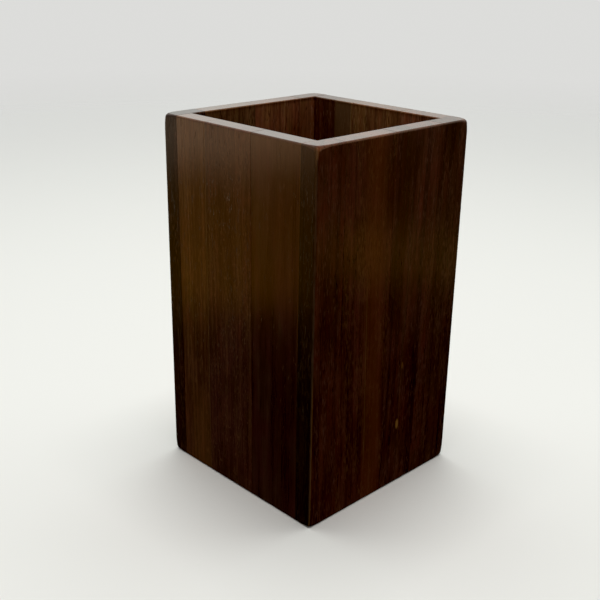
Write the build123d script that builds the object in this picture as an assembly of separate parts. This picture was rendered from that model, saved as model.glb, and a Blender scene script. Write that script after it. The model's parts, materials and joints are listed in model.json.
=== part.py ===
from build123d import *
import os

# Square pen cup of edge-glued hardwood boards, in millimetres. The origin is the centre of the
# base, +Z is up, the front wall faces -Y and the left wall faces -X.

# Driving dimensions
WIDTH = 67.0                # overall, along X
DEPTH = 68.2                # overall, along Y
HEIGHT = 120.0              # overall, along Z
BOARD_THICKNESS = 6.4       # walls and bottom are the same stock
STRIP_WIDTH = 21.3          # width of the strips that the stock is glued up from

# Easing of the finished edges
CORNER_RADIUS = 0.7         # upright outer edges
RIM_OUTER_RADIUS = 0.6      # outer edge of the rim
RIM_INNER_RADIUS = 0.4      # inner edge of the rim
BASE_RADIUS = 0.7           # outer edge of the base

# One glue line of each board, from which its other glue lines follow at the strip width
FRONT_GLUE_LINE_X = -0.7
BACK_GLUE_LINE_X = -0.6
LEFT_GLUE_LINE_Y = 14.1
RIGHT_GLUE_LINE_Y = 9.9
BOTTOM_GLUE_LINE_X = STRIP_WIDTH / 2

# Names of the staves of each board, in order along the axis that crosses the strips
FOUR_ALONG_X = ("left_edge_stave", "left_stave", "right_stave", "right_edge_stave")
THREE_ALONG_X = ("left_stave", "middle_stave", "right_stave")
THREE_ALONG_Y = ("front_stave", "middle_stave", "rear_stave")

# The front and back walls run the full width. The side walls fit between them.
HALF_WIDTH = WIDTH / 2
HALF_DEPTH = DEPTH / 2
INNER_X = HALF_WIDTH - BOARD_THICKNESS
INNER_Y = HALF_DEPTH - BOARD_THICKNESS

OUT_FOLDER = "parts"


def box_between(low, high):
    """Box with its lowest corner at low and its highest corner at high."""
    size = [top - bottom for bottom, top in zip(low, high)]
    corner = (Align.MIN, Align.MIN, Align.MIN)
    return Pos(*low) * Box(*size, align=corner)


def finished_cup():
    """The whole cup as one shape with its edges eased, before it is divided into staves."""
    block = box_between((-HALF_WIDTH, -HALF_DEPTH, 0), (HALF_WIDTH, HALF_DEPTH, HEIGHT))
    block = fillet(block.edges().filter_by(Axis.Z), CORNER_RADIUS)
    block = fillet(block.faces().sort_by(Axis.Z)[-1].edges(), RIM_OUTER_RADIUS)
    block = fillet(block.faces().sort_by(Axis.Z)[0].edges(), BASE_RADIUS)
    cavity = box_between((-INNER_X, -INNER_Y, BOARD_THICKNESS), (INNER_X, INNER_Y, HEIGHT))
    cup = block - cavity
    rim = cup.faces().sort_by(Axis.Z)[-1]
    return fillet(rim.inner_wires()[0].edges(), RIM_INNER_RADIUS)


def strip_limits(glue_line, low, high):
    """Ends of the strips between low and high, with glue lines every STRIP_WIDTH from glue_line."""
    first = glue_line - STRIP_WIDTH * ((glue_line - low) // STRIP_WIDTH)
    lines = [low]
    line = first
    while line < high:
        lines.append(line)
        line += STRIP_WIDTH
    lines.append(high)
    return list(zip(lines, lines[1:]))


def staves_along_x(board, names, glue_line, x_limits, y_limits, z_limits):
    """Boxes of one board whose strips lie side by side along X, by node name."""
    strips = strip_limits(glue_line, *x_limits)
    return {
        f"{board}_{name}": box_between(
            (start, y_limits[0], z_limits[0]), (end, y_limits[1], z_limits[1])
        )
        for name, (start, end) in zip(names, strips, strict=True)
    }


def staves_along_y(board, names, glue_line, x_limits, y_limits, z_limits):
    """Boxes of one board whose strips lie side by side along Y, by node name."""
    strips = strip_limits(glue_line, *y_limits)
    return {
        f"{board}_{name}": box_between(
            (x_limits[0], start, z_limits[0]), (x_limits[1], end, z_limits[1])
        )
        for name, (start, end) in zip(names, strips, strict=True)
    }


def front_wall():
    """Front wall, full width, of four upright staves."""
    return staves_along_x(
        "front_wall", FOUR_ALONG_X, FRONT_GLUE_LINE_X,
        (-HALF_WIDTH, HALF_WIDTH), (-HALF_DEPTH, -INNER_Y), (0, HEIGHT),
    )


def back_wall():
    """Back wall, full width, of four upright staves."""
    return staves_along_x(
        "back_wall", FOUR_ALONG_X, BACK_GLUE_LINE_X,
        (-HALF_WIDTH, HALF_WIDTH), (INNER_Y, HALF_DEPTH), (0, HEIGHT),
    )


def left_wall():
    """Left wall, let in between the front and back walls, of three upright staves."""
    return staves_along_y(
        "left_wall", THREE_ALONG_Y, LEFT_GLUE_LINE_Y,
        (-HALF_WIDTH, -INNER_X), (-INNER_Y, INNER_Y), (0, HEIGHT),
    )


def right_wall():
    """Right wall, let in between the front and back walls, of three upright staves."""
    return staves_along_y(
        "right_wall", THREE_ALONG_Y, RIGHT_GLUE_LINE_Y,
        (INNER_X, HALF_WIDTH), (-INNER_Y, INNER_Y), (0, HEIGHT),
    )


def bottom_board():
    """Bottom, let in between all four walls and flush with their lower ends, of three strips."""
    return staves_along_x(
        "bottom", THREE_ALONG_X, BOTTOM_GLUE_LINE_X,
        (-INNER_X, INNER_X), (-INNER_Y, INNER_Y), (0, BOARD_THICKNESS),
    )


def main():
    """Cut the finished cup into its staves and write one STEP file for each."""
    os.makedirs(OUT_FOLDER, exist_ok=True)
    cup = finished_cup()
    for board in (front_wall(), back_wall(), left_wall(), right_wall(), bottom_board()):
        for name, space in board.items():
            stave = (cup & space).solid()
            stave.label = name
            export_step(stave, f"{OUT_FOLDER}/{name}.step")


main()
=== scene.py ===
"""Finished model of a square wooden pen cup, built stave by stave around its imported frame.

Lengths are in millimetres in the cup's own frame unless a name says metres: the origin is the
centre of the base, +Z is up, the front wall faces -Y and the left wall faces -X. Meshes are
scaled to metres as they are made.
"""
import json
import logging
import math
from dataclasses import dataclass
from enum import Enum

import bpy
import numpy as np
from mathutils import Matrix, Vector


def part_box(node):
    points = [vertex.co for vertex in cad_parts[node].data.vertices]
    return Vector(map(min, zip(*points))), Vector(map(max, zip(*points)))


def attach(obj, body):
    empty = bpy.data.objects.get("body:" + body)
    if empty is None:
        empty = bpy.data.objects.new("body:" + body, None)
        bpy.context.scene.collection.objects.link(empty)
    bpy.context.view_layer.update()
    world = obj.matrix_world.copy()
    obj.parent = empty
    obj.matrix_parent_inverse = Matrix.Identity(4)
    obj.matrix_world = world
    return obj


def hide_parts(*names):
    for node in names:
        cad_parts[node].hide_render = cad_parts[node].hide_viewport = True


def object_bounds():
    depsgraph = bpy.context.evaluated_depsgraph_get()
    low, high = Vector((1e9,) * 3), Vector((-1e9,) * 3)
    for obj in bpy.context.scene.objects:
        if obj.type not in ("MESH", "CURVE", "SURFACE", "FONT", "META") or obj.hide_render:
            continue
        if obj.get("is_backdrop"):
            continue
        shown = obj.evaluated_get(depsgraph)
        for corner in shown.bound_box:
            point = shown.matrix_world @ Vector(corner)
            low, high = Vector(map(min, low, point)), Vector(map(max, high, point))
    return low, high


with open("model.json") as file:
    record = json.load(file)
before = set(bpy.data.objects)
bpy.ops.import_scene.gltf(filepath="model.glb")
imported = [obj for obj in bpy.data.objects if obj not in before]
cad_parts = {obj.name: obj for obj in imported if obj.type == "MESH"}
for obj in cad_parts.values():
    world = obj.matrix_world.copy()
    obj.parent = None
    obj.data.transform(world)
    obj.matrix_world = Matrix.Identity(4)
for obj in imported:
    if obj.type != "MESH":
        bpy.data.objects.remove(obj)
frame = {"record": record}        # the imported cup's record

LOG = logging.getLogger("pen_cup")
MM = 0.001
TOUCH = 1e-4             # two planes nearer than this are the same plane
X, Y, Z = 0, 1, 2

Colour = tuple[float, float, float, float]
Socket = bpy.types.NodeSocket
Value = Socket | float | tuple


def wood_colour(red: float, green: float, blue: float) -> Colour:
    """Opaque colour from its linear red, green and blue."""
    return (red, green, blue, 1.0)


def smooth_step(value: np.ndarray, low: float, high: float) -> np.ndarray:
    """Ease from 0 at low to 1 at high.

    Args:
        value: Numbers to ease.
        low: Where the result leaves 0.
        high: Where the result reaches 1.

    Returns:
        The eased numbers, in the shape of value.
    """
    share = np.clip((value - low) / (high - low), 0.0, 1.0)
    return share * share * (3.0 - 2.0 * share)


def round_corner(
    first: np.ndarray, second: np.ndarray, radius: float | np.ndarray
) -> tuple[np.ndarray, np.ndarray]:
    """Bend the square corner between two faces into a quarter circle.

    Args:
        first: Distance of each point inside the first face.
        second: Distance of each point inside the second face.
        radius: Radius of the quarter circle, one for all points or one for each.

    Returns:
        Both distances after bending. Points past the radius stay where they are.
    """
    near = np.minimum(first, second)
    far = np.maximum(first, second)
    bent = (near < radius) & (far < radius)
    ring = np.where(bent, radius - near, 1.0)
    turn = np.where(bent, math.pi / 4 * (1.0 - (far - near) / ring), 0.0)
    new_near = np.where(bent, radius - ring * np.cos(turn), near)
    new_far = np.where(bent, radius - ring * np.sin(turn), far)
    first_is_near = first <= second
    return np.where(first_is_near, new_near, new_far), np.where(first_is_near, new_far, new_near)


def slow_waves(points: np.ndarray, seed: int, length: float) -> np.ndarray:
    """Gentle unevenness of a hand-sanded surface.

    Args:
        points: Places to evaluate, one row each.
        seed: Choice of pattern.
        length: Distance from one swell to the next.

    Returns:
        One number from 0 to 1 for each point.
    """
    draw = np.random.default_rng(seed)
    total = np.zeros(len(points))
    swells = 5
    for _ in range(swells):
        direction = draw.normal(size=3)
        direction /= np.linalg.norm(direction)
        pitch = length * draw.uniform(0.7, 1.6)
        total += np.sin(points @ direction * (2 * math.pi / pitch) + draw.uniform(0, 2 * math.pi))
    return 0.5 + 0.5 * total / swells


@dataclass(frozen=True)
class CupShape:
    """Outside and cavity of the finished cup, and how its edges are eased."""

    half_width: float
    half_depth: float
    height: float
    cavity_half_width: float
    cavity_half_depth: float
    corner_radius: float = 0.7
    rim_radius: float = 0.6
    mouth_radius: float = 0.4
    base_radius: float = 0.7
    tip_reach: float = 4.5
    tip_corner_extra: float = 0.7
    tip_rim_extra: float = 0.9
    tip_base_extra: float = 0.6
    worn_from: float = 0.1
    worn_to: float = 0.95
    rim_wear: float = 0.2
    inside_from: float = 0.3
    inside_to: float = 2.0

    @classmethod
    def from_frame(cls) -> "CupShape":
        """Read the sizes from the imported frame.

        Returns:
            The shape of the cup that was packed.
        """
        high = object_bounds()[1] / MM
        side_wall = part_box("left_wall_middle_stave")[1] / MM
        front_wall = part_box("front_wall_left_stave")[1] / MM
        return cls(high.x, high.y, high.z, -side_wall.x, -front_wall.y)

    def is_outside(self, axis: int, place: float) -> bool:
        """Whether a plane across the axis at that place is an outer face of the cup."""
        return abs(abs(place) - (self.half_width, self.half_depth)[axis]) < TOUCH

    def wear(self, points: np.ndarray) -> np.ndarray:
        """Measure how near each place is to an edge that gets rubbed: corners most, the rim a little.

        Args:
            points: Places on the square-edged cup, one row each.

        Returns:
            One number from 0 to 1 for each point.
        """
        across, deep = self.half_width - abs(points[:, X]), self.half_depth - abs(points[:, Y])
        below = self.height - points[:, Z]
        corner = np.hypot(across, deep)
        rim = np.hypot(np.minimum(np.minimum(across, deep), abs(self.into_wood(points))), below)
        on_corner = 1.0 - smooth_step(corner, self.worn_from, self.worn_to)
        on_rim = 1.0 - smooth_step(rim, self.worn_from, self.worn_to)
        return np.maximum(on_corner, self.rim_wear * on_rim)

    def inside(self, points: np.ndarray) -> np.ndarray:
        """Which places belong to the inside of the cup, less those on the inner edge of the rim. The
        painted light on the inner faces follows this mask.

        Args:
            points: Places on the square-edged cup, one row each.

        Returns:
            One number from 0 to 1 for each point.
        """
        on_wall = 1.0 - smooth_step(self.into_wood(points), 0.0, self.mouth_radius)
        return on_wall * smooth_step(self.height - points[:, Z], self.inside_from, self.inside_to)

    def into_wood(self, points: np.ndarray) -> np.ndarray:
        """Measure how far each point is from the cavity, seen from above.

        Args:
            points: Places on the cup, one row each.

        Returns:
            The distances, negative inside the cavity.
        """
        return np.maximum(
            abs(points[:, X]) - self.cavity_half_width, abs(points[:, Y]) - self.cavity_half_depth
        )

    def eased(self, points: np.ndarray) -> np.ndarray:
        """Bend square-edged wood to the cup's eased edges.

        Args:
            points: Places in or on the square-edged cup, one row each.

        Returns:
            The same places once the edges are rounded.
        """
        signs = np.where(points[:, :2] < 0, -1.0, 1.0)
        flat = self.half_width - abs(points[:, X]), self.half_depth - abs(points[:, Y])
        from_end = np.minimum(self.height - points[:, Z], points[:, Z])
        near_end = 1.0 - smooth_step(from_end, 0.0, self.tip_reach)
        near_corner = 1.0 - smooth_step(np.maximum(*flat), 0.0, self.tip_reach)
        corner_radius = self.corner_radius + self.tip_corner_extra * near_end
        rim_radius = self.rim_radius + self.tip_rim_extra * near_corner
        base_radius = self.base_radius + self.tip_base_extra * near_corner
        across, deep = round_corner(*flat, corner_radius)
        to_centre = np.maximum(corner_radius - np.stack([across, deep]), 0.0)
        ring = np.hypot(*to_centre)
        in_corner = (to_centre > 0).all(axis=0)
        depth = np.where(in_corner, corner_radius - ring, np.minimum(across, deep))
        outward = np.where(in_corner, to_centre / np.maximum(ring, TOUCH), [across <= deep, across > deep])
        rim_depth, below = round_corner(depth, self.height - points[:, Z], rim_radius)
        new_depth, height = round_corner(rim_depth, self.height - below, base_radius)
        plan = np.array([[self.half_width], [self.half_depth]])
        plan = plan - np.stack([across, deep]) - outward * (new_depth - depth)
        made = np.column_stack([signs[:, X] * plan[X], signs[:, Y] * plan[Y], height])
        return self.eased_mouth(made)

    def eased_mouth(self, points: np.ndarray) -> np.ndarray:
        """Round the inner edge of the rim.

        Args:
            points: Places in or on the cup, one row each.

        Returns:
            The same places once that edge is rounded.
        """
        distance = self.into_wood(points)
        moved, below = round_corner(distance, self.height - points[:, Z], self.mouth_radius)
        along_x = abs(points[:, X]) - self.cavity_half_width >= abs(points[:, Y]) - self.cavity_half_depth
        step = np.where(distance < self.mouth_radius, moved - distance, 0.0)
        made = points.copy()
        made[:, X] += np.sign(points[:, X]) * step * along_x
        made[:, Y] += np.sign(points[:, Y]) * step * ~along_x
        made[:, Z] = self.height - below
        return made


class Sheet:
    """Short hand for adding nodes to one node tree and joining them."""

    def __init__(self, tree: bpy.types.NodeTree) -> None:
        """Work on this node tree."""
        self.tree = tree

    def node(self, kind: str, **settings: object) -> bpy.types.Node:
        """Add one node.

        Args:
            kind: Blender's name for the kind of node.
            settings: Properties to set on it.

        Returns:
            The new node.
        """
        made = self.tree.nodes.new(kind)
        for name, value in settings.items():
            setattr(made, name, value)
        return made

    def feed(self, socket: Socket, value: Value) -> None:
        """Give a socket its value.

        Args:
            socket: The input to feed.
            value: A socket to join to it, or a plain number, vector or colour to set there.
        """
        if isinstance(value, bpy.types.NodeSocket):
            self.tree.links.new(value, socket)
        else:
            socket.default_value = value

    def calc(self, operation: str, *values: Value, clamp: bool = False) -> Socket:
        """Do one sum.

        Args:
            operation: Name of the Math node's operation.
            values: Its terms, in order.
            clamp: Whether the result is held between 0 and 1.

        Returns:
            The result.
        """
        made = self.node("ShaderNodeMath", operation=operation, use_clamp=clamp)
        for socket, value in zip(made.inputs, values):
            self.feed(socket, value)
        return made.outputs[0]

    def vector(self, operation: str, *values: Value, scale: Value = 1.0) -> Socket:
        """Do one vector sum.

        Args:
            operation: Name of the Vector Math node's operation.
            values: Its terms, in order.
            scale: The number that SCALE multiplies by.

        Returns:
            The vector, or the number where the operation gives one.
        """
        made = self.node("ShaderNodeVectorMath", operation=operation)
        for socket, value in zip(made.inputs, values):
            self.feed(socket, value)
        if operation == "SCALE":
            self.feed(made.inputs["Scale"], scale)
        return made.outputs["Value" if operation == "LENGTH" else "Vector"]

    def joined(self, *parts: Value) -> Socket:
        """Make a vector.

        Args:
            parts: Its three numbers, in order.

        Returns:
            The vector.
        """
        made = self.node("ShaderNodeCombineXYZ")
        for socket, part in zip(made.inputs, parts):
            self.feed(socket, part)
        return made.outputs[0]

    def noise(
        self, place: Value, detail: float = 2.0, roughness: float = 0.5, distortion: float = 0.0
    ) -> Socket:
        """Smooth noise, one swell for each unit of place.

        Args:
            place: Where the noise is read.
            detail: How many finer layers it has.
            roughness: How strong each finer layer is.
            distortion: How far it is folded over itself.

        Returns:
            A number about 0.5.
        """
        made = self.node("ShaderNodeTexNoise")
        self.feed(made.inputs["Vector"], place)
        made.inputs["Scale"].default_value = 1.0
        made.inputs["Detail"].default_value = detail
        made.inputs["Roughness"].default_value = roughness
        made.inputs["Distortion"].default_value = distortion
        return made.outputs["Fac"]

    def stretched_noise(
        self, place: Value, scale: tuple[float, float, float], detail: float
    ) -> Socket:
        """Add noise that is stretched along some axes.

        Args:
            place: Where to read it.
            scale: How fast it changes along each axis.
            detail: How many finer layers it has.

        Returns:
            The noise, from 0 to 1.
        """
        return self.noise(self.vector("MULTIPLY", place, scale), detail=detail)

    def ramp(self, value: Value, low: Value, high: Value, first: Value = 0.0, last: Value = 1.0) -> Socket:
        """Ease a number from one range to another.

        Args:
            value: The number.
            low: Value that gives first.
            high: Value that gives last.
            first: Result at low and below.
            last: Result at high and above.

        Returns:
            The eased number.
        """
        made = self.node("ShaderNodeMapRange", interpolation_type="SMOOTHSTEP")
        for socket, number in zip(made.inputs, (value, low, high, first, last)):
            self.feed(socket, number)
        return made.outputs[0]

    def blend(self, share: Value, first: Value, second: Value, mode: str = "MIX") -> Socket:
        """Blend two colours.

        Args:
            share: How much of the second colour, from 0 to 1.
            first: The colour underneath.
            second: The colour laid over it.
            mode: Name of the Mix node's blend type.

        Returns:
            The blended colour.
        """
        made = self.node("ShaderNodeMix", data_type="RGBA", blend_type=mode)
        colours = [socket for socket in made.inputs if socket.type == "RGBA"]
        self.feed(made.inputs["Factor"], share)
        self.feed(colours[0], first)
        self.feed(colours[1], second)
        return next(socket for socket in made.outputs if socket.type == "RGBA")


NOISE_SPAN = (0.3, 0.7)                    # noise seldom leaves these values


class Effect:
    """A shader node group, built once, that several finishes use with their own values."""

    title = ""
    inputs: dict[str, Value] = {}
    outputs: tuple[str, ...] = ()

    def lay_out(self, sheet: Sheet, given: dict[str, Socket]) -> tuple[Socket, ...]:
        """Build the group's nodes.

        Args:
            sheet: The group's node tree.
            given: Its input sockets by name.

        Returns:
            One socket for each output, in order.
        """
        raise NotImplementedError

    def tree(self) -> bpy.types.NodeTree:
        """Find the group, or build it the first time it is wanted.

        Returns:
            The group's node tree.
        """
        made = bpy.data.node_groups.get(self.title)
        if made is not None:
            return made
        made = bpy.data.node_groups.new(self.title, "ShaderNodeTree")
        for name, value in self.inputs.items():
            kind = "NodeSocketVector" if isinstance(value, tuple) else "NodeSocketFloat"
            made.interface.new_socket(name=name, in_out="INPUT", socket_type=kind).default_value = value
        for name in self.outputs:
            made.interface.new_socket(name=name, in_out="OUTPUT", socket_type="NodeSocketFloat")
        sheet = Sheet(made)
        entry = sheet.node("NodeGroupInput")
        given = {socket.name: socket for socket in entry.outputs if socket.name}
        leaving = sheet.node("NodeGroupOutput")
        for name, socket in zip(self.outputs, self.lay_out(sheet, given)):
            sheet.feed(leaving.inputs[name], socket)
        return made

    def place(self, sheet: Sheet, values: dict[str, Value]) -> list[Socket]:
        """Put the group in a material.

        Args:
            sheet: The material's node tree.
            values: Its inputs by name.

        Returns:
            Its outputs, in order.
        """
        made = sheet.node("ShaderNodeGroup", node_tree=self.tree(), label=self.title)
        for name, value in values.items():
            sheet.feed(made.inputs[name], value)
        return [made.outputs[name] for name in self.outputs]


class GrowthRings(Effect):
    """Growth rings about a pith line that runs along the grain."""

    drift_scale = (0.06, 0.06, 0.011)
    uneven_scale = 0.37
    uneven_years = 1.6
    late_wood = (0.25, 0.9)                # shares of a year
    winter = (0.92, 1.0)

    title = "growth_rings"
    inputs = {"Grain": (0.0, 0.0, 0.0), "Pith": (0.0, 0.0, 0.0), "Ring Width": 2.0, "Wander": 2.0}
    outputs = ("Latewood", "Ring Shade")

    def lay_out(self, sheet: Sheet, given: dict[str, Socket]) -> tuple[Socket, ...]:
        """Measure the distance from the pith and cut it into rings.

        Args:
            sheet: The group's node tree.
            given: Its input sockets by name.

        Returns:
            The late wood of each ring, and how dark the ring is as a whole.
        """
        from_pith = sheet.vector("SUBTRACT", given["Grain"], given["Pith"])
        distance = sheet.vector("LENGTH", sheet.vector("MULTIPLY", from_pith, (1.0, 1.0, 0.0)))
        drift = sheet.stretched_noise(given["Grain"], self.drift_scale, detail=2.0)
        drift = sheet.calc("MULTIPLY", sheet.calc("SUBTRACT", drift, 0.5), given["Wander"])
        years = sheet.calc("DIVIDE", sheet.calc("ADD", distance, drift), given["Ring Width"])
        uneven = sheet.stretched_noise(sheet.joined(years, 0.0, 0.0), (self.uneven_scale,) * 3, detail=1.0)
        years = sheet.calc("ADD", years, sheet.calc("MULTIPLY", uneven, self.uneven_years))
        season = sheet.calc("FRACT", years)
        growing = sheet.ramp(season, *self.late_wood)
        winter = sheet.ramp(season, *self.winter, 1.0, 0.0)
        shade = sheet.node("ShaderNodeTexWhiteNoise", noise_dimensions="1D")
        sheet.feed(shade.inputs["W"], sheet.calc("FLOOR", years))
        return sheet.calc("MULTIPLY", growing, winter), shade.outputs["Value"]


class FibreStreaks(Effect):
    """Long thin streaks along the grain."""

    title = "fibre_streaks"
    inputs = {"Grain": (0.0, 0.0, 0.0), "Streak Width": 0.5, "Streak Length": 30.0}
    outputs = ("Streaks",)

    def lay_out(self, sheet: Sheet, given: dict[str, Socket]) -> tuple[Socket, ...]:
        """Stretch noise along the grain.

        Args:
            sheet: The group's node tree.
            given: Its input sockets by name.

        Returns:
            The streaks, from 0 to 1.
        """
        size = sheet.joined(given["Streak Width"], given["Streak Width"], given["Streak Length"])
        streaks = sheet.noise(sheet.vector("DIVIDE", given["Grain"], size), detail=3.0, roughness=0.6)
        return (sheet.ramp(streaks, *NOISE_SPAN),)


class GrainDashes(Effect):
    """Short separate dashes along the grain: open pores, or the pale flecks between them."""

    coarse_scale = (0.45, 0.45, 0.06)
    coarse_cover = (0.55, 1.35)            # cover where the wood is fine, and where it is coarse
    bare_edge = 0.76                       # peaks above this stay where cover is 0
    edge_fall = 0.25
    edge_blur = 0.1

    title = "grain_dashes"
    inputs = {"Grain": (0.0, 0.0, 0.0), "Dash Width": 0.3, "Dash Length": 2.0, "Cover": 0.5}
    outputs = ("Dashes",)

    def lay_out(self, sheet: Sheet, given: dict[str, Socket]) -> tuple[Socket, ...]:
        """Keep only the peaks of stretched noise, more of them where the wood is coarse.

        Args:
            sheet: The group's node tree.
            given: Its input sockets by name.

        Returns:
            The dashes, 1 at the middle of each.
        """
        size = sheet.joined(given["Dash Width"], given["Dash Width"], given["Dash Length"])
        peaks = sheet.noise(sheet.vector("DIVIDE", given["Grain"], size), detail=1.5, roughness=0.45)
        coarse = sheet.stretched_noise(given["Grain"], self.coarse_scale, detail=1.0)
        more = sheet.ramp(coarse, *NOISE_SPAN, *self.coarse_cover)
        cover = sheet.calc("MULTIPLY", given["Cover"], more)
        edge = sheet.calc("MULTIPLY_ADD", cover, -self.edge_fall, self.bare_edge)
        return (sheet.ramp(peaks, edge, sheet.calc("ADD", edge, self.edge_blur)),)


class ColourBand(Effect):
    """One streak of other-coloured wood that runs along the grain from end to end."""

    sway_scale = 0.03

    title = "colour_band"
    inputs = {
        "Across": 0.0, "Along": 0.0, "Centre": 0.0, "Half Width": 1.0, "Softness": 0.3,
        "Wander": 0.0, "Start": -100.0, "Stop": 300.0, "Fade": 12.0,
    }
    outputs = ("Band",)

    def lay_out(self, sheet: Sheet, given: dict[str, Socket]) -> tuple[Socket, ...]:
        """Measure the distance from the wandering middle of the band.

        Args:
            sheet: The group's node tree.
            given: Its input sockets by name.

        Returns:
            1 inside the band and 0 outside it.
        """
        place = sheet.joined(sheet.calc("MULTIPLY", given["Along"], self.sway_scale), given["Centre"], 0.0)
        sway = sheet.calc("SUBTRACT", sheet.noise(place, detail=2.0), 0.5)
        middle = sheet.calc("MULTIPLY_ADD", sway, given["Wander"], given["Centre"])
        distance = sheet.calc("ABSOLUTE", sheet.calc("SUBTRACT", given["Across"], middle))
        inner = sheet.calc("SUBTRACT", given["Half Width"], given["Softness"])
        outer = sheet.calc("ADD", given["Half Width"], given["Softness"])
        begun = sheet.ramp(given["Along"], given["Start"], sheet.calc("ADD", given["Start"], given["Fade"]))
        left = sheet.calc("SUBTRACT", given["Stop"], given["Fade"])
        running = sheet.ramp(given["Along"], left, given["Stop"], 1.0, 0.0)
        inside = sheet.ramp(distance, inner, outer, 1.0, 0.0)
        return (sheet.calc("MULTIPLY", inside, sheet.calc("MULTIPLY", begun, running)),)


class BroadFigure(Effect):
    """Slow change of tone over a board, as the light takes the fibres."""

    stretch = 3.5

    title = "broad_figure"
    inputs = {"Grain": (0.0, 0.0, 0.0), "Size": 9.0}
    outputs = ("Figure",)

    def lay_out(self, sheet: Sheet, given: dict[str, Socket]) -> tuple[Socket, ...]:
        """Stretch slow noise along the grain.

        Args:
            sheet: The group's node tree.
            given: Its input sockets by name.

        Returns:
            The tone, from 0 to 1.
        """
        length = sheet.calc("MULTIPLY", given["Size"], self.stretch)
        size = sheet.joined(given["Size"], given["Size"], length)
        tone = sheet.noise(sheet.vector("DIVIDE", given["Grain"], size), detail=2.0, distortion=0.4)
        return (sheet.ramp(tone, *NOISE_SPAN),)


class EdgeWear(Effect):
    """Where handling has rubbed the finish thin along the eased edges."""

    patch_scale = (0.9, 0.9, 0.25)
    patch_depth = 0.9
    rubbed_through = (0.5, 1.05)

    title = "edge_wear"
    inputs = {"Grain": (0.0, 0.0, 0.0), "Edge": 0.0, "Amount": 0.5}
    outputs = ("Worn",)

    def lay_out(self, sheet: Sheet, given: dict[str, Socket]) -> tuple[Socket, ...]:
        """Break up the nearness of an edge with noise.

        Args:
            sheet: The group's node tree.
            given: Its input sockets by name.

        Returns:
            How worn the surface is, from 0 to 1.
        """
        patches = sheet.stretched_noise(given["Grain"], self.patch_scale, detail=4.0)
        uneven = sheet.calc("SUBTRACT", patches, 0.5)
        near = sheet.calc("MULTIPLY_ADD", uneven, self.patch_depth, given["Edge"])
        return (sheet.calc("MULTIPLY", sheet.ramp(near, *self.rubbed_through), given["Amount"]),)


class SatinSheen(Effect):
    """Roughness of a wiped satin finish, with faint smudges and open pores."""

    smudge_scale = (0.07, 0.07, 0.05)
    fibre_scale = (1.8, 1.8, 0.12)
    fibre_share = 0.35                     # of fibres against smudges
    dash_roughness = 0.12

    title = "satin_sheen"
    inputs = {"Grain": (0.0, 0.0, 0.0), "Dashes": 0.0, "Smooth": 0.25, "Rough": 0.4}
    outputs = ("Roughness",)

    def lay_out(self, sheet: Sheet, given: dict[str, Socket]) -> tuple[Socket, ...]:
        """Mix slow smudges with the pores.

        Args:
            sheet: The group's node tree.
            given: Its input sockets by name.

        Returns:
            The roughness.
        """
        smudges = sheet.stretched_noise(given["Grain"], self.smudge_scale, detail=3.0)
        fine = sheet.stretched_noise(given["Grain"], self.fibre_scale, detail=2.0)
        smudge_part = sheet.calc("MULTIPLY", smudges, 1.0 - self.fibre_share)
        mixed = sheet.calc("MULTIPLY_ADD", fine, self.fibre_share, smudge_part)
        sheen = sheet.ramp(mixed, *NOISE_SPAN, given["Smooth"], given["Rough"])
        return (sheet.calc("MULTIPLY_ADD", given["Dashes"], self.dash_roughness, sheen),)


class LensMark(Effect):
    """One small lens-shaped mark in the grain."""

    solid_share = 0.45                     # of the mark, from its middle outwards

    title = "lens_mark"
    inputs = {
        "Across": 0.0, "Along": 0.0, "Middle Across": 0.0, "Middle Along": 0.0,
        "Half Width": 0.7, "Half Length": 1.6,
    }
    outputs = ("Mark",)

    def lay_out(self, sheet: Sheet, given: dict[str, Socket]) -> tuple[Socket, ...]:
        """Measure an ellipse about the middle of the mark.

        Args:
            sheet: The group's node tree.
            given: Its input sockets by name.

        Returns:
            1 inside the mark and 0 outside it.
        """
        aside = sheet.calc("SUBTRACT", given["Across"], given["Middle Across"])
        apart = sheet.calc("SUBTRACT", given["Along"], given["Middle Along"])
        aside = sheet.calc("DIVIDE", aside, given["Half Width"])
        apart = sheet.calc("DIVIDE", apart, given["Half Length"])
        reach = sheet.vector("LENGTH", sheet.joined(aside, apart, 0.0))
        return (sheet.ramp(reach, self.solid_share, 1.0, 1.0, 0.0),)


class Cut(Enum):
    """How a strip was sawn from the log: where its pith lies, across and through the strip."""

    QUARTER = (-260.0, 30.0)
    RIFT = (-120.0, 110.0)
    FLAT = (6.0, 48.0)


@dataclass(frozen=True)
class Band:
    """A streak of another colour along a strip. Its centre is a share of the strip's width."""

    centre: float
    half_width: float
    colour: Colour
    strength: float
    softness: float = 0.3
    wander: float = 0.8
    start: float = -100.0
    stop: float = 300.0


@dataclass(frozen=True)
class Mark:
    """A single lens-shaped mark. Its middle is a share of the strip's width and length."""

    across: float
    along: float
    half_width: float
    half_length: float
    colour: Colour


GLUE_LINE = wood_colour(0.012, 0.006, 0.003)
# near-black painted shade for the front wall's left end and corner
PAINTED_SHADE_BLACK = wood_colour(0.014, 0.011, 0.010)
SAPWOOD = wood_colour(0.33, 0.17, 0.06)
HEART_STREAK = wood_colour(0.030, 0.011, 0.005)
AMBER = wood_colour(0.50, 0.22, 0.045)
PALE_AMBER = wood_colour(0.38, 0.18, 0.05)
DULL_AMBER = wood_colour(0.22, 0.09, 0.025)
RUBBED = wood_colour(0.300, 0.180, 0.120)
WARM_STREAK = wood_colour(0.200, 0.055, 0.020)
PALE_STREAK = wood_colour(0.120, 0.060, 0.028)
# golden painted light, bounced up onto the foot of the left wall
PAINTED_BOUNCE_GOLD = wood_colour(0.230, 0.100, 0.025)


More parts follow.
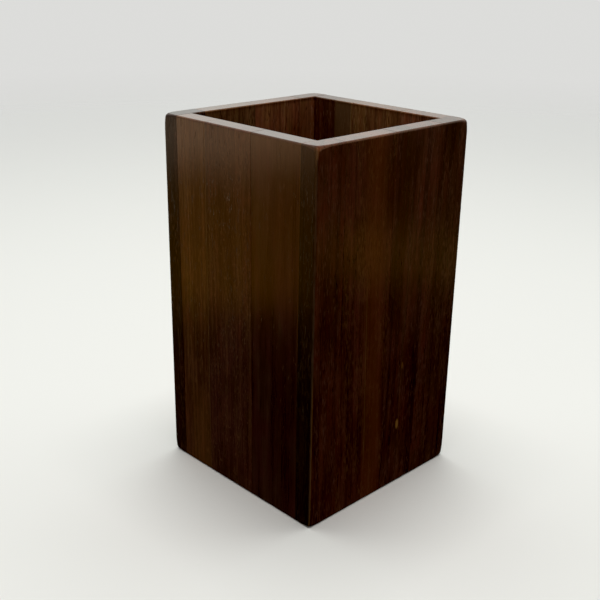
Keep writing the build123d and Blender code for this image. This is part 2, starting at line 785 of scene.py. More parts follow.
@dataclass(frozen=True)
class WoodFinish:
    """Satin-finished heartwood of one kind. Colours are linear; lengths are in millimetres."""

    early: Colour
    blush: Colour
    late: Colour
    pore: Colour
    fleck: Colour
    ring_width: float = 2.2
    ring_depth: float = 0.45
    wander: float = 5.0
    fibres: tuple[tuple[float, float], ...] = ((0.36, 4.5), (0.55, 38.0), (2.6, 140.0))
    streak_depth: float = 0.6
    pore_cover: float = 0.6
    pore_depth: float = 0.7
    fleck_cover: float = 0.7
    fleck_depth: float = 0.3
    figure_depth: float = 0.35
    smooth: float = 0.09
    rough: float = 0.16
    # painted light: how much lighter the inner faces are coloured
    inside_painted_light: tuple[float, float, float] = (1.5, 1.75, 1.7)


class Heartwood(Enum):
    """Kinds of heartwood in the cup, named as the record's material slots."""

    BROWN = "brown_heartwood"
    GOLDEN = "golden_heartwood"
    DARK = "dark_heartwood"


FINISHES = {
    Heartwood.BROWN: WoodFinish(
        early=wood_colour(0.138, 0.052, 0.018),
        blush=wood_colour(0.150, 0.035, 0.017),
        late=wood_colour(0.052, 0.016, 0.009),
        pore=wood_colour(0.016, 0.006, 0.005),
        fleck=wood_colour(0.235, 0.105, 0.062),
    ),
    Heartwood.GOLDEN: WoodFinish(
        early=wood_colour(0.165, 0.066, 0.021),
        blush=wood_colour(0.175, 0.045, 0.018),
        late=wood_colour(0.066, 0.021, 0.010),
        pore=wood_colour(0.020, 0.008, 0.005),
        fleck=wood_colour(0.265, 0.120, 0.050),
        ring_width=1.7,
    ),
    Heartwood.DARK: WoodFinish(
        early=wood_colour(0.112, 0.034, 0.018),
        blush=wood_colour(0.120, 0.022, 0.014),
        late=wood_colour(0.036, 0.011, 0.008),
        pore=wood_colour(0.012, 0.005, 0.004),
        fleck=wood_colour(0.210, 0.095, 0.070),
        ring_width=2.8,
        fleck_cover=0.8,
        fleck_depth=0.34,
    ),
}


@dataclass(frozen=True)
class StripLook:
    """What is particular to one strip of wood: its cut, tone, lean and streaks.

    Its tint multiplies its colour, and inside multiplies it again on the inside of the cup, as painted
    light that makes the inner faces lighter.
    """

    seed: int
    cut: Cut = Cut.QUARTER
    tint: tuple[float, float, float] = (1.0, 1.0, 1.0)
    lean: float = 0.0
    pores: float = 1.0
    flecks: float = 1.0
    fleck_size: tuple[float, float] = (0.32, 2.8)
    streaks: float = 1.0
    figure: float = 1.0
    polish: float = 1.0
    # this strip's own share of the painted light on its inner face
    inside: tuple[float, float, float] = (1.0, 1.0, 1.0)
    bands: tuple[Band, ...] = ()
    marks: tuple[Mark, ...] = ()


@dataclass(frozen=True)
class GrainSpace:
    """Which way the grain runs in a stave, and where the stave begins and ends."""

    low: Vector
    high: Vector
    across: int
    through: int
    along: int

    @property
    def width(self) -> float:
        """Width of the strip across the grain."""
        return self.high[self.across] - self.low[self.across]

    @property
    def length(self) -> float:
        """Length of the strip along the grain."""
        return self.high[self.along] - self.low[self.along]


class StripMaterial:
    """Builds the material of one strip from its kind of wood and its own look."""

    log_step = (53.0, 32.33, 90.1)         # how far apart in the log two strips are cut
    pore_size = (0.34, 3.2)
    fleck_shift = (7.3, 3.1, 19.0)
    figure_size = 7.0
    blush_size = 4.5
    blush_shift = (31.0, 17.0, 11.0)
    short_share = 0.65                     # of short fibres against fine ones
    wide_share = 0.75
    ring_swing = 0.6
    blush_share = 0.85
    end_grain_calm = 0.75                  # how much end grain hides pores and relief
    worn_amount = 0.25
    relief_fine = 0.12
    relief_late = 0.1
    relief_pores = 0.6
    bump_depth = 0.09 * MM
    bump_strength = 0.7
    specular = 0.5
    coat = 0.03
    coat_roughness = 0.12
    refraction = 1.5
    fibre_sheen = wood_colour(1.0, 0.38, 0.07)
    glue_half_width = 0.07
    glue_softness = 0.06
    glue_strength = 0.1

    def __init__(self, name: str, finish: WoodFinish, look: StripLook, space: GrainSpace) -> None:
        """Start an empty material.

        Args:
            name: Name of the material.
            finish: The kind of wood.
            look: What is particular to this strip.
            space: Where the strip lies.
        """
        self.finish, self.look, self.space = finish, look, space
        self.material = bpy.data.materials.new(name)
        self.material.use_nodes = True
        self.material.node_tree.nodes.clear()
        self.sheet = Sheet(self.material.node_tree)

    @property
    def log_shift(self) -> tuple[float, ...]:
        """How far this strip's wood lies from the origin of the log."""
        return tuple(self.look.seed * step for step in self.log_step)

    def painted(self, mask: str) -> Socket:
        """Read one of the masks that the stave stores on its points.

        Args:
            mask: The name it is stored under.

        Returns:
            Its value, from 0 to 1.
        """
        return self.sheet.node("ShaderNodeAttribute", attribute_name=mask).outputs["Fac"]

    def grain(self) -> tuple[Socket, Socket, Socket]:
        """Measure the surface along the strip's own grain.

        Returns:
            Distance across the strip, distance along it, and the place in the log.
        """
        sheet, look = self.sheet, self.look
        place = sheet.node("ShaderNodeTexCoord").outputs["Object"]
        split = sheet.node("ShaderNodeSeparateXYZ")
        start = tuple(-corner for corner in self.space.low)
        sheet.feed(split.inputs[0], sheet.vector("ADD", sheet.vector("SCALE", place, scale=1 / MM), start))
        across, through, along = (
            split.outputs[axis] for axis in (self.space.across, self.space.through, self.space.along)
        )
        leaning = sheet.calc("MULTIPLY_ADD", along, look.lean, across)
        log = sheet.vector("ADD", sheet.joined(leaning, through, along), self.log_shift)
        return across, along, log

    def build(self) -> bpy.types.Material:
        """Lay out the whole material.

        Returns:
            The finished material.
        """
        sheet, finish, look = self.sheet, self.finish, self.look
        across, along, log = self.grain()
        pith = tuple(place + shift for place, shift in zip(look.cut.value, self.log_shift))
        rings = {"Grain": log, "Pith": (*pith, 0.0), "Ring Width": finish.ring_width,
                 "Wander": finish.wander}
        latewood, ring_shade = GrowthRings().place(sheet, rings)
        short, fine, wide = (
            FibreStreaks().place(sheet, {"Grain": log, "Streak Width": width, "Streak Length": length})[0]
            for width, length in finish.fibres
        )
        side_grain = sheet.calc("MULTIPLY_ADD", self.painted("end_grain"), -self.end_grain_calm, 1.0)
        pores = self.dashes(log, self.pore_size, finish.pore_cover * look.pores)
        pores = sheet.calc("MULTIPLY", pores, side_grain)
        fleck_log = sheet.vector("ADD", log, self.fleck_shift)
        flecks = self.dashes(fleck_log, look.fleck_size, finish.fleck_cover * look.flecks)
        (figure,) = BroadFigure().place(sheet, {"Grain": log, "Size": self.figure_size})
        blush_log = sheet.vector("ADD", log, self.blush_shift)
        (blush,) = BroadFigure().place(sheet, {"Grain": blush_log, "Size": self.blush_size})
        fine_part = sheet.calc("MULTIPLY", fine, 1.0 - self.short_share)
        fibres = sheet.calc("MULTIPLY_ADD", short, self.short_share, fine_part)
        colour = self.colour(latewood, ring_shade, fibres, wide, figure, blush)
        colour = sheet.blend(sheet.calc("MULTIPLY", flecks, finish.fleck_depth), colour, finish.fleck)
        colour = sheet.blend(sheet.calc("MULTIPLY", pores, finish.pore_depth), colour, finish.pore)
        colour = self.with_streaks(colour, across, along)
        # painted light: the inside of the cup, below the rim, is coloured lighter
        lift = tuple(whole * own for whole, own in zip(finish.inside_painted_light, look.inside))
        colour = sheet.blend(self.painted("inside"), colour, sheet.vector("MULTIPLY", colour, lift))
        wear = {"Grain": log, "Edge": self.painted("edge"), "Amount": self.worn_amount}
        (worn,) = EdgeWear().place(sheet, wear)
        colour = sheet.blend(worn, colour, RUBBED)
        sheen = {"Grain": log, "Dashes": pores, "Smooth": finish.smooth, "Rough": finish.rough}
        (roughness,) = SatinSheen().place(sheet, sheen)
        late_part = sheet.calc("MULTIPLY", latewood, self.relief_late)
        relief = sheet.calc("MULTIPLY_ADD", fine, self.relief_fine, late_part)
        relief = sheet.calc("SUBTRACT", relief, sheet.calc("MULTIPLY", pores, self.relief_pores))
        relief = sheet.calc("MULTIPLY", relief, side_grain)
        self.shade(colour, roughness, relief)
        return self.material

    def dashes(self, log: Socket, size: tuple[float, float], cover: float) -> Socket:
        """Scatter short dashes along the grain.

        Args:
            log: The place in the log.
            size: Width and length of a dash.
            cover: Share of the surface that they take.

        Returns:
            The mask of the dashes.
        """
        values = {"Grain": log, "Dash Width": size[0], "Dash Length": size[1], "Cover": cover}
        return GrainDashes().place(self.sheet, values)[0]

    def colour(
        self,
        latewood: Socket,
        ring_shade: Socket,
        fine: Socket,
        wide: Socket,
        figure: Socket,
        blush: Socket,
    ) -> Socket:
        """Mix the ground colour of the wood.

        Args:
            latewood: Late wood of the rings.
            ring_shade: Darkness of each ring as a whole.
            fine: Fine fibre streaks.
            wide: Wide fibre streaks.
            figure: Slow change of tone.
            blush: Slow change of hue.

        Returns:
            The colour before pores, flecks and streaks of other wood.
        """
        sheet, finish, look = self.sheet, self.finish, self.look
        shade = sheet.calc("MULTIPLY_ADD", ring_shade, self.ring_swing, 1.0 - self.ring_swing)
        ring = sheet.calc("MULTIPLY", latewood, shade)
        dark = sheet.calc("MULTIPLY", ring, finish.ring_depth)
        dark = sheet.calc("MULTIPLY_ADD", fine, finish.streak_depth * look.streaks, dark)
        dark = sheet.calc("MULTIPLY_ADD", wide, self.wide_share * finish.streak_depth, dark, clamp=True)
        early = sheet.blend(sheet.calc("MULTIPLY", blush, self.blush_share), finish.early, finish.blush)
        ground = sheet.blend(dark, early, finish.late)
        swing = finish.figure_depth * look.figure
        light = sheet.calc("MULTIPLY_ADD", figure, swing, 1.0 - swing / 2)
        return sheet.vector("MULTIPLY", sheet.vector("SCALE", ground, scale=light), look.tint)

    def with_streaks(self, colour: Socket, across: Socket, along: Socket) -> Socket:
        """Lay the strip's streaks, marks and glue lines over its ground colour.

        Args:
            colour: The ground colour.
            across: Distance across the strip.
            along: Distance along the strip.

        Returns:
            The colour with them.
        """
        sheet, look, width = self.sheet, self.look, self.space.width
        leaning = sheet.calc("MULTIPLY_ADD", along, look.lean, across)
        for band in look.bands:
            (mask,) = ColourBand().place(
                sheet,
                {"Across": leaning, "Along": along, "Centre": band.centre * width,
                 "Half Width": band.half_width, "Softness": band.softness, "Wander": band.wander,
                 "Start": band.start, "Stop": band.stop},
            )
            colour = sheet.blend(sheet.calc("MULTIPLY", mask, band.strength), colour, band.colour)
        for mark in look.marks:
            (mask,) = LensMark().place(
                sheet,
                {"Across": across, "Along": along, "Middle Across": mark.across * width,
                 "Middle Along": mark.along * self.space.length, "Half Width": mark.half_width,
                 "Half Length": mark.half_length},
            )
            colour = sheet.blend(mask, colour, mark.colour)
        for side in (0.0, width):
            (mask,) = ColourBand().place(
                sheet,
                {"Across": across, "Along": along, "Centre": side, "Half Width": self.glue_half_width,
                 "Softness": self.glue_softness, "Wander": 0.0},
            )
            colour = sheet.blend(sheet.calc("MULTIPLY", mask, self.glue_strength), colour, GLUE_LINE)
        return colour

    def shade(self, colour: Socket, roughness: Socket, relief: Socket) -> None:
        """Join the maps to a satin-coated surface.

        Args:
            colour: The wood's colour.
            roughness: Its roughness.
            relief: Height of its grain, where 1 is the full bump depth.
        """
        sheet = self.sheet
        bump = sheet.node("ShaderNodeBump")
        bump.inputs["Strength"].default_value = self.bump_strength
        bump.inputs["Distance"].default_value = self.bump_depth
        sheet.feed(bump.inputs["Height"], relief)
        surface = sheet.node("ShaderNodeBsdfPrincipled")
        sheet.feed(surface.inputs["Base Color"], colour)
        sheet.feed(surface.inputs["Roughness"], roughness)
        sheet.feed(surface.inputs["Normal"], bump.outputs[0])
        surface.inputs["IOR"].default_value = self.refraction
        surface.inputs["Specular Tint"].default_value = self.fibre_sheen
        surface.inputs["Specular IOR Level"].default_value = self.specular * self.look.polish
        surface.inputs["Coat Weight"].default_value = self.coat * self.look.polish
        surface.inputs["Coat Roughness"].default_value = self.coat_roughness
        end = sheet.node("ShaderNodeOutputMaterial")
        sheet.feed(end.inputs["Surface"], surface.outputs[0])


@dataclass(frozen=True)
class Stave:
    """One strip of wood: a dense mesh in its own material, standing in for its CAD node."""

    node: str
    look: StripLook
    space: GrainSpace
    joined_axes: tuple[int, ...]
    cell: float = 1.1
    eased_lines: tuple[float, ...] = (0.12, 0.26, 0.42, 0.6, 0.8, 1.05, 1.35, 1.7)
    glue_ease: float = 0.014
    glue_lines: tuple[float, ...] = (0.07, 0.25)
    mouth_steps: int = 5
    wave_depth: float = 0.05
    wave_length: float = 34.0
    proud_depth: float = 0.03
    proud_steps: int = 5
    proud_stride: int = 7
    finest: float = 0.02

    def grid_lines(self, axis: int, shape: CupShape) -> np.ndarray:
        """Places of the mesh lines across one axis, closer together near the edges.

        Args:
            axis: The axis that the lines cross.
            shape: The finished cup.

        Returns:
            The places, from lowest to highest.
        """
        low, high = self.space.low[axis], self.space.high[axis]
        near_low = self.glue_lines if self.is_glued(axis, low, shape) else self.eased_lines
        near_high = self.glue_lines if self.is_glued(axis, high, shape) else self.eased_lines
        start, stop = low + near_low[-1], high - near_high[-1]
        count = max(2, round((stop - start) / self.cell))
        lines = [low, *(low + step for step in near_low), *np.linspace(start, stop, count + 1)[1:-1]]
        lines += [*(high - step for step in reversed(near_high)), high]
        if axis != Z:
            mouth = (shape.cavity_half_width, shape.cavity_half_depth)[axis]
            steps = np.linspace(0.0, shape.mouth_radius, self.mouth_steps)
            lines += [sign * (mouth + step) for sign in (-1, 1) for step in steps]
        kept = sorted(line for line in lines if low - TOUCH <= line <= high + TOUCH)
        return np.array([line for line, last in zip(kept, [low - 1, *kept]) if line - last > self.finest])

    def is_glued(self, axis: int, place: float, shape: CupShape) -> bool:
        """Whether the strip's side at that place is glued to a neighbour."""
        return axis in self.joined_axes and not shape.is_outside(axis, place)

    def surface(self, shape: CupShape) -> tuple[np.ndarray, list[tuple[int, ...]]]:
        """Square-edged surface of the strip as a closed grid.

        Args:
            shape: The finished cup.

        Returns:
            The points, and the faces that join them.
        """
        lines = [self.grid_lines(axis, shape) for axis in (X, Y, Z)]
        counts = [len(line) for line in lines]
        index = -np.ones(counts, int)
        on_surface = np.zeros(counts, bool)
        for axis in (X, Y, Z):
            for end in (0, -1):
                np.moveaxis(on_surface, axis, 0)[end] = True
        index[on_surface] = np.arange(on_surface.sum())
        places = np.argwhere(on_surface)
        points = np.column_stack([lines[axis][places[:, axis]] for axis in (X, Y, Z)])
        faces: list[tuple[int, ...]] = []
        for axis in (X, Y, Z):
            for end in (0, -1):
                side = np.moveaxis(index, axis, 0)[end]
                quads = np.stack([side[:-1, :-1], side[1:, :-1], side[1:, 1:], side[:-1, 1:]], axis=-1)
                outward = (end == -1) != (axis == Y)
                quads = quads if outward else quads[..., ::-1]
                faces += [tuple(quad) for quad in quads.reshape(-1, 4).tolist()]
        return points, faces

    def worked(self, points: np.ndarray, shape: CupShape) -> np.ndarray:
        """Give the square-edged strip its sanded faces, softened glue edges and eased rims.

        Args:
            points: The square-edged surface.
            shape: The finished cup.

        Returns:
            The finished surface.
        """
        inward = np.zeros_like(points)
        on_side = np.zeros((len(points), 3), bool)
        on_glue = np.zeros(len(points), bool)
        for axis in (X, Y, Z):
            for corner, direction in ((self.space.low, 1.0), (self.space.high, -1.0)):
                touching = abs(points[:, axis] - corner[axis]) < TOUCH
                on_side[:, axis] |= touching
                inward[touching, axis] = direction
                if self.is_glued(axis, corner[axis], shape):
                    on_glue |= touching
        softened = on_glue & (on_side.sum(axis=1) > 1)
        depth = self.wave_depth * slow_waves(points, self.look.seed, self.wave_length)
        step = (self.look.seed * self.proud_stride) % self.proud_steps
        depth += self.proud_depth * step / (self.proud_steps - 1)
        depth = depth * (points[:, Z] > TOUCH)
        free = inward.copy()
        free[:, list(self.joined_axes)] = 0.0
        made = points + free * depth[:, None]
        made += inward * (self.glue_ease * softened)[:, None] * (points[:, Z] > TOUCH)[:, None]
        return shape.eased(made)

    def build(self, shape: CupShape) -> bpy.types.Object:
        """Make the strip's mesh and set it in place of its CAD node.

        Args:
            shape: The finished cup.

        Returns:
            The new piece.
        """
        points, faces = self.surface(shape)
        mesh = bpy.data.meshes.new(f"{self.node}_wood")
        mesh.from_pydata((self.worked(points, shape) * MM).tolist(), [], faces)
        along = self.space.along
        masks = {
            "edge": shape.wear(points),
            "inside": shape.inside(points),
            "end_grain": (abs(points[:, along] - self.space.high[along]) < TOUCH) * 1.0,
        }
        for name, values in masks.items():
            mask = mesh.attributes.new(name, "FLOAT", "POINT")
            mask.data.foreach_set("value", values.astype(np.float32))
        mesh.shade_smooth()
        piece = bpy.data.objects.new(f"{self.node}_wood", mesh)
        bpy.context.scene.collection.objects.link(piece)
        piece.modifiers.new("even_normals", "WEIGHTED_NORMAL")
        return piece

    def dress(self, piece: bpy.types.Object, slot: str) -> None:
        """Give the piece its wood.

        Args:
            piece: The strip's mesh.
            slot: The record's material slot.
        """
        finish = FINISHES[Heartwood(slot)]
        wood = StripMaterial(f"{self.node}_{slot}", finish, self.look, self.space).build()
        piece.data.materials.append(wood)
        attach(piece, "root")
        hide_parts(self.node)


@dataclass(frozen=True)
class Board:
    """A board glued up from strips. Its strips are listed in order, each with its own look."""

    name: str
    across: int
    through: int
    along: int
    joined_axes: tuple[int, ...]
    strips: dict[str, StripLook]

    def staves(self) -> list[Stave]:
        """Read each strip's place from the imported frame.

        Returns:
            The board's strips in order.
        """
        made = []
        for strip, look in self.strips.items():
            node = f"{self.name}_{strip}"
            low, high = (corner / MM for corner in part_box(node))
            space = GrainSpace(low, high, self.across, self.through, self.along)
            made.append(Stave(node, look, space, self.joined_axes))
        return made

    def build(self, shape: CupShape, slots: dict[str, str]) -> list[bpy.types.Object]:
        """Build and dress every strip of the board.

        Args:
            shape: The finished cup.
            slots: The record's material slot of each node.

        Returns:
            The new pieces.
        """
        pieces = []
        for stave in self.staves():
            piece = stave.build(shape)
            stave.dress(piece, slots[stave.node])
            LOG.info("%s: %d faces", piece.name, len(piece.data.polygons))
            pieces.append(piece)
        return pieces


def front_wall() -> Board:
    """Front wall: reddish strips, one of them warmer, with a few thin pale lines. Its left end carries
    painted shade and its left corner a painted highlight.

    Returns:
        The front wall, strip by strip.
    """
    # painted shade: near-black over the front wall's left end face and its eased corner
    painted_end_shade = Band(0.0, 0.35, PAINTED_SHADE_BLACK, 0.85, softness=0.2, wander=0.0)
    # painted highlight: amber line just inside the left corner, from the foot to 56 mm, standing for the
    # corner's golden highlight
    amber_edge_line = Band(0.031, 0.1, AMBER, 0.42, softness=0.12, wander=0.1, stop=56.0)
    warm_side = Band(0.78, 4.0, WARM_STREAK, 0.4, softness=3.0, wander=3.0)
    pale_line = Band(0.62, 0.15, SAPWOOD, 0.3, softness=0.13, wander=1.2, start=8.0, stop=84.0)
    dark_side = Band(0.14, 3.0, HEART_STREAK, 0.6, softness=1.5, wander=2.0, start=50.0)
    light_line = Band(0.36, 0.15, SAPWOOD, 0.14, softness=0.13, wander=2.5, start=5.0, stop=95.0)
    amber = Mark(0.35, 0.185, 0.9, 2.3, PALE_AMBER)
    small_amber = Mark(0.40, 0.36, 0.5, 1.6, DULL_AMBER)
    return Board("front_wall", X, Y, Z, (X,), {
        "left_edge_stave": StripLook(1, Cut.RIFT, tint=(1.15, 1.28, 1.3), figure=2.0, polish=0.7,
                                     bands=(painted_end_shade, amber_edge_line)),
        "left_stave": StripLook(2, Cut.QUARTER, tint=(0.73, 0.67, 1.15), lean=0.03, flecks=1.2, figure=2.0,
                                bands=(warm_side, pale_line)),
        "right_stave": StripLook(3, Cut.RIFT, tint=(1.18, 1.36, 1.45), lean=-0.018, figure=1.8, polish=0.85,
                                 bands=(dark_side, light_line), marks=(amber, small_amber)),
        "right_edge_stave": StripLook(4, Cut.RIFT, tint=(0.63, 0.68, 0.95), flecks=1.4, figure=1.6,
                                      polish=0.6),
    })


def back_wall() -> Board:
    """Back wall: its inner face shows above the front rim.

    Returns:
        The back wall, strip by strip.
    """
    red_stripe = Band(0.05, 1.5, HEART_STREAK, 0.4, softness=0.7)
    light_line = Band(0.62, 0.25, SAPWOOD, 0.2, softness=0.2)
    return Board("back_wall", X, Y, Z, (X,), {
        "left_edge_stave": StripLook(5, Cut.RIFT, tint=(0.37, 0.51, 0.85), polish=0.4),
        "left_stave": StripLook(6, Cut.RIFT, tint=(0.8, 0.95, 1.1), flecks=1.3),
        # inside: painted light on the inner faces of these strips
        "right_stave": StripLook(7, Cut.QUARTER, tint=(1.15, 1.2, 1.2), inside=(1.36, 1.32, 1.33),
                                 bands=(light_line,)),
        "right_edge_stave": StripLook(8, Cut.RIFT, tint=(1.2, 1.3, 1.2), inside=(1.8, 1.9, 1.65),
                                      bands=(red_stripe,)),
    })


def left_wall() -> Board:
    """Left wall: the lightest of the cup, with long straight grain.

    Returns:
        The left wall, strip by strip.
    """
    amber_edge_line = Band(0.0, 0.3, AMBER, 0.12, softness=0.2, wander=0.1, start=50.0)
    fair_line = Band(0.995, 0.25, SAPWOOD, 0.25, softness=0.2, wander=0.2)
    # painted light: golden lightening of the rear strip's foot, up to 34 mm, standing for light bounced
    # from below
    painted_foot_light = Band(0.3, 5.0, PAINTED_BOUNCE_GOLD, 0.2, softness=4.0, wander=3.0, stop=34.0)
    return Board("left_wall", Y, X, Z, (Y,), {
        "front_stave": StripLook(9, Cut.FLAT, tint=(0.50, 0.60, 1.1), polish=1.1, pores=0.5,
                                 flecks=0.4, streaks=0.8, bands=(amber_edge_line,)),
        "middle_stave": StripLook(10, Cut.QUARTER, tint=(0.94, 1.12, 1.6), polish=0.9, pores=0.85,
                                  fleck_size=(0.3, 1.8), streaks=1.6, bands=(fair_line,)),
        "rear_stave": StripLook(11, Cut.QUARTER, tint=(1.02, 1.18, 1.5), pores=0.7,
                                flecks=0.9, fleck_size=(0.3, 3.6), streaks=1.6, bands=(painted_foot_light,)),
    })


def right_wall() -> Board:
    """Right wall: its inner face shows above the front rim.

    Returns:
        The right wall, strip by strip.
    """
    fair_line = Band(0.0, 0.4, SAPWOOD, 0.4, softness=0.2, wander=0.1)
    fair_band = Band(0.22, 3.7, PALE_STREAK, 0.6, softness=0.6, wander=0.5)
    return Board("right_wall", Y, X, Z, (Y,), {
        # inside: painted light on the inner faces of these strips
        "front_stave": StripLook(12, Cut.RIFT, tint=(1.15, 1.2, 1.2), inside=(1.36, 1.3, 1.35), flecks=1.4),
        "middle_stave": StripLook(13, Cut.RIFT, tint=(1.1, 1.2, 1.2), inside=(1.16, 1.17, 1.2), flecks=1.2),
        "rear_stave": StripLook(14, Cut.QUARTER, tint=(0.55, 0.55, 0.8), bands=(fair_band, fair_line)),
    })


def bottom_board() -> Board:
    """Bottom: let in between the walls, with its grain from front to back.

    Returns:
        The bottom board, strip by strip.
    """
    return Board("bottom", X, Z, Y, (X, Y), {
        "left_stave": StripLook(15, Cut.RIFT),
        "middle_stave": StripLook(16, Cut.QUARTER),
        "right_stave": StripLook(17, Cut.FLAT),
    })


@dataclass(frozen=True)
class StudioFloor:
    """Plain pale floor that fades into the pale surroundings."""

    radius: float = 3.0
    sides: int = 96
    colour: Colour = (0.80, 0.79, 0.775, 1.0)
    fade_from: float = 0.2
    fade_to: float = 1.1
    roughness: float = 0.9

    def build(self) -> bpy.types.Object:
        """Make the floor.

        Returns:
            The floor, marked as not part of the object.
        """
        mesh = bpy.data.meshes.new("floor")
        turns = np.linspace(0.0, 2 * math.pi, self.sides, endpoint=False)
        rim = [(self.radius * math.cos(turn), self.radius * math.sin(turn), 0.0) for turn in turns]
        mesh.from_pydata(rim, [], [tuple(range(self.sides))])
        floor = bpy.data.objects.new("floor", mesh)
        bpy.context.scene.collection.objects.link(floor)
        material = bpy.data.materials.new("pale_floor")
        material.use_nodes = True
        surface = material.node_tree.nodes["Principled BSDF"]
        surface.inputs["Base Color"].default_value = self.colour
        surface.inputs["Roughness"].default_value = self.roughness
        surface.inputs["Specular IOR Level"].default_value = 0.0
        sheet = Sheet(material.node_tree)
        distance = sheet.vector("LENGTH", sheet.node("ShaderNodeTexCoord").outputs["Object"])
        sheet.feed(surface.inputs["Alpha"], sheet.ramp(distance, self.fade_from, self.fade_to, 1.0, 0.0))
        mesh.materials.append(material)
        floor.visible_glossy = False
        floor.visible_diffuse = False
        floor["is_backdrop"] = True
        return floor


@dataclass(frozen=True)
class SoftBox:
    """A soft rectangular studio light that faces the cup's axis. Lengths are in metres.

    The cup's polish shows it only where mirrored is set.
    """

    name: str
    place: tuple[float, float, float]
    aim_height: float
    width: float
    height: float
    power: float
    colour: tuple[float, float, float] = (1.0, 1.0, 1.0)
    mirrored: bool = True

    def build(self) -> bpy.types.Object:
        """Make the light.

        Returns:
            The light.
        """
        lamp = bpy.data.lights.new(self.name, "AREA")
        lamp.shape = "RECTANGLE"
        lamp.size, lamp.size_y = self.width, self.height
        lamp.energy = self.power
        lamp.color = self.colour
        made = bpy.data.objects.new(self.name, lamp)
        direction = Vector((0.0, 0.0, self.aim_height)) - Vector(self.place)
        made.location = self.place
        made.rotation_euler = direction.to_track_quat("-Z", "Y").to_euler()
        made.visible_glossy = self.mirrored
        bpy.context.scene.collection.objects.link(made)
        return made


@dataclass(frozen=True)
class Outlook:
    """What the cup's polish mirrors on one side: a dark bench, then brighter bands above it.

    Each band is the angle in degrees at which it begins, how softly, and its colour.
    """

    bands: tuple[tuple[float, float, Colour], ...]

    def colour(self, sheet: Sheet, rise: Socket, below: Value) -> Socket:
        """Stack the bands over what lies below them.

        Args:
            sheet: The world's node tree.
            rise: Upward part of the direction looked in.
            below: Colour under the lowest band.

        Returns:
            The colour seen in that direction.
        """
        seen = below
        for begin, blur, colour in self.bands:
            low, high = (math.sin(math.radians(begin + way * blur)) for way in (-1, 1))
            seen = sheet.blend(sheet.ramp(rise, low, high), seen, colour)
        return seen


@dataclass(frozen=True)
class Surroundings:
    """Pale room beyond the floor, with a dark bench below the cup for it to reflect.

    The sky is dim on the near side and bright behind the cup. What the polish mirrors on the near
    side is mirrored_sky. Turns and rises are measured on the direction looked in, whose length is 1.
    """

    backdrop: Colour = (0.72, 0.72, 0.705, 1.0)
    sky: Colour = (0.12, 0.12, 0.12, 1.0)
    bright_sky: Colour = (1.07, 1.15, 1.11, 1.0)
    mirrored_sky: Colour = (1.50, 1.55, 1.50, 1.0)
    panels_across: float = 9.0
    panel_contrast: float = 0.45
    bench: Colour = (0.004, 0.003, 0.003, 1.0)
    left_turn: tuple[float, float] = (-0.25, 0.25)
    back_turn: tuple[float, float] = (-0.15, 0.35)
    sky_rise: tuple[float, float] = (0.08, 0.25)
    mirrored_rise: tuple[float, float] = (-0.14, -0.07)
    left: Outlook = Outlook((
        (-21.6, 0.9, (0.28, 0.19, 0.01, 1.0)),
        (-12.4, 1.5, (1.35, 1.35, 1.10, 1.0)),
        (-8.0, 3.0, (0.30, 0.30, 0.28, 1.0)),
    ))
    front: Outlook = Outlook((
        (-19.8, 0.8, (0.30, 0.22, 0.05, 1.0)),
        (-16.7, 0.9, (0.08, 0.05, 0.02, 1.0)),
    ))

    def build(self) -> None:
        """Lay out the world's nodes."""
        world = bpy.data.worlds.new("surroundings")
        bpy.context.scene.world = world
        world.use_nodes = True
        world.node_tree.nodes.clear()
        sheet = Sheet(world.node_tree)
        split = sheet.node("ShaderNodeSeparateXYZ")
        sheet.feed(split.inputs[0], sheet.node("ShaderNodeTexCoord").outputs["Generated"])
        leftward = sheet.calc("SUBTRACT", split.outputs[Y], split.outputs[X])
        to_left = sheet.ramp(leftward, *self.left_turn)
        round_about = sheet.joined(split.outputs[X], split.outputs[Y], 0.0)
        panels = sheet.noise(sheet.vector("SCALE", round_about, scale=self.panels_across), detail=1.0)
        swing = (1.0 - self.panel_contrast, 1.0 + self.panel_contrast)
        panels = sheet.ramp(panels, *NOISE_SPAN, *swing)
        right_view = self.front.colour(sheet, split.outputs[Z], self.bench)
        left_view = self.left.colour(sheet, split.outputs[Z], self.bench)
        seen = sheet.vector("SCALE", sheet.blend(to_left, right_view, left_view), scale=panels)
        path = sheet.node("ShaderNodeLightPath")
        backward = sheet.calc("ADD", split.outputs[X], split.outputs[Y])
        backward = sheet.ramp(backward, *self.back_turn)
        sky = sheet.blend(backward, self.sky, self.bright_sky)
        seen = sheet.blend(sheet.ramp(split.outputs[Z], *self.sky_rise), seen, sky)
        near_side = sheet.calc("SUBTRACT", 1.0, backward)
        mirrored = sheet.calc("MULTIPLY", path.outputs["Is Glossy Ray"], near_side)
        above = sheet.ramp(split.outputs[Z], *self.mirrored_rise)
        seen = sheet.blend(sheet.calc("MULTIPLY", mirrored, above), seen, self.mirrored_sky)
        seen = sheet.blend(path.outputs["Is Camera Ray"], seen, self.backdrop)
        light = sheet.node("ShaderNodeBackground")
        sheet.feed(light.inputs["Color"], seen)
        end = sheet.node("ShaderNodeOutputWorld")
        sheet.feed(end.inputs["Surface"], light.outputs[0])


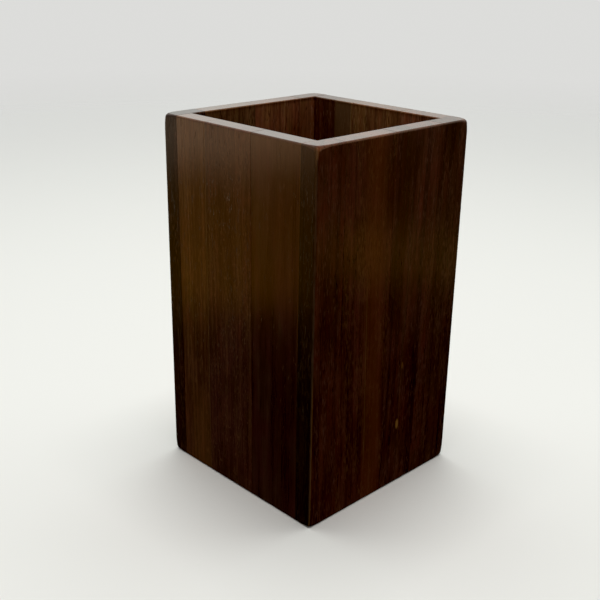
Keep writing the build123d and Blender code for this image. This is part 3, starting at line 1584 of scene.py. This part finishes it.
@dataclass(frozen=True)
class CupCamera:
    """The view of the cup: angles in degrees, lengths in metres."""

    azimuth: float = -44.45
    elevation: float = 21.13
    roll: float = 0.945
    distance: float = 0.3117
    lens: float = 55.5
    aim_left: float = 0.0040
    aim_height: float = 0.0580

    def build(self) -> bpy.types.Object:
        """Make the camera and use it for the scene.

        Returns:
            The camera.
        """
        turn, lift = math.radians(self.azimuth), math.radians(self.elevation)
        back = Vector((math.sin(turn) * math.cos(lift), -math.cos(turn) * math.cos(lift), math.sin(lift)))
        aim = Vector((-math.cos(turn), -math.sin(turn), 0.0)) * self.aim_left
        aim.z = self.aim_height
        data = bpy.data.cameras.new("cup_camera")
        data.lens = self.lens
        data.clip_start = 0.01
        camera = bpy.data.objects.new("cup_camera", data)
        facing = (-back).to_track_quat("-Z", "Y").to_matrix()
        camera.matrix_world = Matrix.Translation(aim + back * self.distance) @ (
            facing @ Matrix.Rotation(math.radians(self.roll), 3, "Z")
        ).to_4x4()
        bpy.context.scene.collection.objects.link(camera)
        bpy.context.scene.camera = camera
        return camera


@dataclass(frozen=True)
class Studio:
    """Floor, lights, surroundings and camera."""

    black_point: float = 0.0025
    boxes: tuple[SoftBox, ...] = (
        SoftBox("left_box", (-0.75, -0.05, 0.62), 0.07, 0.45, 0.45, 0.12, (1.0, 0.93, 0.82)),
        SoftBox("front_box", (0.35, -0.85, 0.55), 0.06, 0.5, 0.4, 0.2, (1.0, 0.93, 0.84)),
        SoftBox("back_box", (0.62, 0.64, 0.42), 0.12, 0.7, 0.5, 0.25, (1.0, 1.0, 0.96)),
        SoftBox("top_box", (0.0, 0.0, 0.95), 0.1, 0.5, 0.5, 5.5, (1.0, 0.98, 0.95), mirrored=False),
    )

    def build(self) -> None:
        """Set up everything round the cup."""
        StudioFloor().build()
        for box in self.boxes:
            box.build()
        Surroundings().build()
        CupCamera().build()
        scene = bpy.context.scene
        scene.view_settings.view_transform = "Standard"
        scene.view_settings.look = "None"
        scene.view_settings.use_curve_mapping = True
        scene.view_settings.curve_mapping.black_level = (self.black_point,) * 3


class PenCup:
    """The whole cup: four walls and a bottom, each glued up from strips."""

    def __init__(self, record: dict) -> None:
        """Read the cup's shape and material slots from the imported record.

        Args:
            record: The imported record.
        """
        self.shape = CupShape.from_frame()
        self.slots = {part["node"]: part["material_slot"] for part in record["subparts"]}
        self.boards = (front_wall(), left_wall(), back_wall(), right_wall(), bottom_board())

    def build(self) -> list[bpy.types.Object]:
        """Build every board.

        Returns:
            All the pieces of the cup.
        """
        pieces = []
        for board in self.boards:
            made = board.build(self.shape, self.slots)
            LOG.info("%s: %d strips", board.name, len(made))
            pieces += made
        return pieces


def main() -> None:
    """Build the cup and its studio."""
    logging.basicConfig(level=logging.INFO, format="%(name)s %(message)s")
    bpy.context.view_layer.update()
    pieces = PenCup(frame["record"]).build()
    Studio().build()
    LOG.info("%d pieces", len(pieces))


if __name__ == "__main__":
    main()
